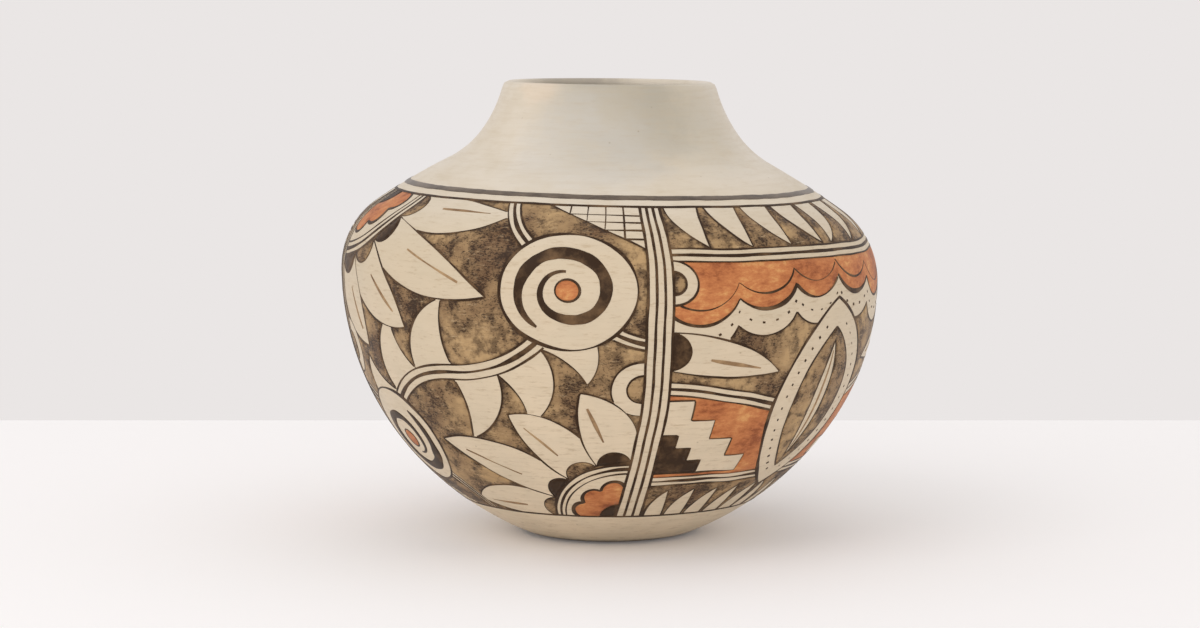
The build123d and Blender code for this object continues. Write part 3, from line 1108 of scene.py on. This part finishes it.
# Painted panels: the fields and then the strokes of each sheet, which comes twice round the jar
first_stripes = math.radians(FIRST_STRIPES_ANGLE)
panel_middle = first_stripes - math.pi / PANELS
copies = PANELS // 2
for title, sheet, middle in (
    ("dark_panels", dark_panel, panel_middle),
    ("red_panels", red_panel, panel_middle + math.tau / PANELS),
):
    meshes = painted_meshes(title, sheet)
    for paint, material, slot in (
        ("wash", brown_wash, "dark_paint"),
        ("red", red_ochre, "red_paint"),
        ("solid", dark_line, "dark_paint"),
    ):
        inputs = paint_inputs(material, copies, middle)
        make_piece(f"{title}_{paint}", field_tree, meshes[paint], inputs, slot)
    for kind, material in (("dark", dark_line), ("pale", pale_line)):
        strokes = [
            ([on_panel(point) for point in points], widths)
            for stroke_kind, points, widths in sheet.strokes
            if stroke_kind == kind
        ]
        mesh = stroke_mesh(f"{title} {kind} strokes", strokes)
        inputs = paint_inputs(material, copies, middle)
        make_piece(f"{title}_{kind}_strokes", stroke_tree, mesh, inputs, "dark_paint")

# Lines round the jar, from back to back
for title, node, distance, width, paint in (
    ("shoulder_band", "neck_band", neck_band_at, NECK_BAND_WIDTH, band_paint_with_painted_sheen),
    ("shoulder_line", "neck_line", neck_line_at, NECK_LINE_WIDTH, dark_line),
    ("foot_ring", "foot_line", foot_line_at, FOOT_LINE_WIDTH, dark_line),
):
    path = [(math.radians(90 + degrees), distance * MM) for degrees in range(361)]
    mesh = stroke_mesh(title, [(path, [width] * len(path))], RING_LIFT)
    inputs = paint_inputs(paint, 1, 0.0, RING_HAND)
    make_piece(title, stroke_tree, mesh, inputs, "dark_paint", node)

# Stripes that part the panels
stripe_paths = []
for line in range(STRIPE_LINES):
    offset = line * STRIPE_PITCH - stripe_half
    distances = [panel_distance(step / STROKE_STEPS) for step in range(STROKE_STEPS + 1)]
    path = [(stripe_turn(distance, offset), distance * MM) for distance in distances]
    stripe_paths.append((path, [STRIPE_LINE_WIDTH] * len(path)))
stripe_mesh = stroke_mesh("divider stripes", stripe_paths, STRIPE_LIFT)
stripe_inputs = paint_inputs(dark_line, PANELS, first_stripes)
make_piece("divider_stripes", stroke_tree, stripe_mesh, stripe_inputs, "dark_paint", "panel_stripes")


def seen_rays(tree):
    """One for the rays that the eye sees, straight, in a gloss or through glass, and nought for the rest."""
    rays = add(tree, "LightPath").outputs
    seen = rays["Is Camera Ray"]
    for kind in ("Is Glossy Ray", "Is Transmission Ray"):
        seen = add(tree, "Math", {0: seen, 1: rays[kind]}, "MAXIMUM")
    return seen


# Matt paper: white and even, and a little brighter to the eye than the light on it would make it
material, tree, _ = new_material("Matt white paper")
seen_light = add(tree, "Math", {0: seen_rays(tree), 1: PAPER_GLOW}, "MULTIPLY")
white = {"Base Color": linear("#f6f4f5"), "Emission Color": linear("#f4efef")}
matt_paper = finished(material, white | {"Roughness": 0.9, "Emission Strength": seen_light})

floor_corners = [(side, FLOOR_FRONT, 0) for side in (-FLOOR_SIDE, FLOOR_SIDE)]
floor_corners += [(side, FLOOR_BACK, 0) for side in (FLOOR_SIDE, -FLOOR_SIDE)]
floor_mesh = bpy.data.meshes.new("floor")
floor_mesh.from_pydata(floor_corners, [], [(0, 1, 2, 3)])
floor_mesh.materials.append(matt_paper)
floor = new_object("floor", floor_mesh)

# World: a soft light from all round, with the backdrop's colour where the eye sees it
world = bpy.data.worlds.new("Studio")
scene.world = world
world.use_nodes = True
tree = world.node_tree
tree.nodes.clear()
fill_light = add(tree, "Background", {"Color": linear("#f4f2f0"), "Strength": 0.95})
backdrop = add(tree, "Background", {"Color": linear("#eae6e5"), "Strength": 1.0})
sky = add(tree, "MixShader", {0: seen_rays(tree), 1: fill_light, 2: backdrop})
add(tree, "OutputWorld", {"Surface": sky})


def soft_box(name, place, aim, size, power):
    """A square studio lamp at a place, facing a point."""
    lamp = bpy.data.lights.new(name, "AREA")
    lamp.shape = "SQUARE"
    lamp.size = size
    lamp.energy = power
    holder = new_object(name, lamp)
    holder.location = place
    holder.rotation_euler = (Vector(aim) - Vector(place)).to_track_quat("-Z", "Y").to_euler()


soft_box("key soft box", place=(-1.3, -1.3, 1.7), aim=(0, 0, 0.1), size=1.6, power=9.2)
soft_box("low bounce card", place=(0, -3.0, 0.04), aim=(0, 0, 0.36), size=2.4, power=22.5)

camera = bpy.data.cameras.new("camera")
camera.lens = CAMERA_LENS
camera.sensor_width = CAMERA_SENSOR
scene.camera = new_object("camera", camera)
scene.camera.location = CAMERA_PLACE
scene.camera.rotation_euler = (math.radians(90 - CAMERA_DIP), 0, 0)
scene.view_settings.view_transform = "Standard"
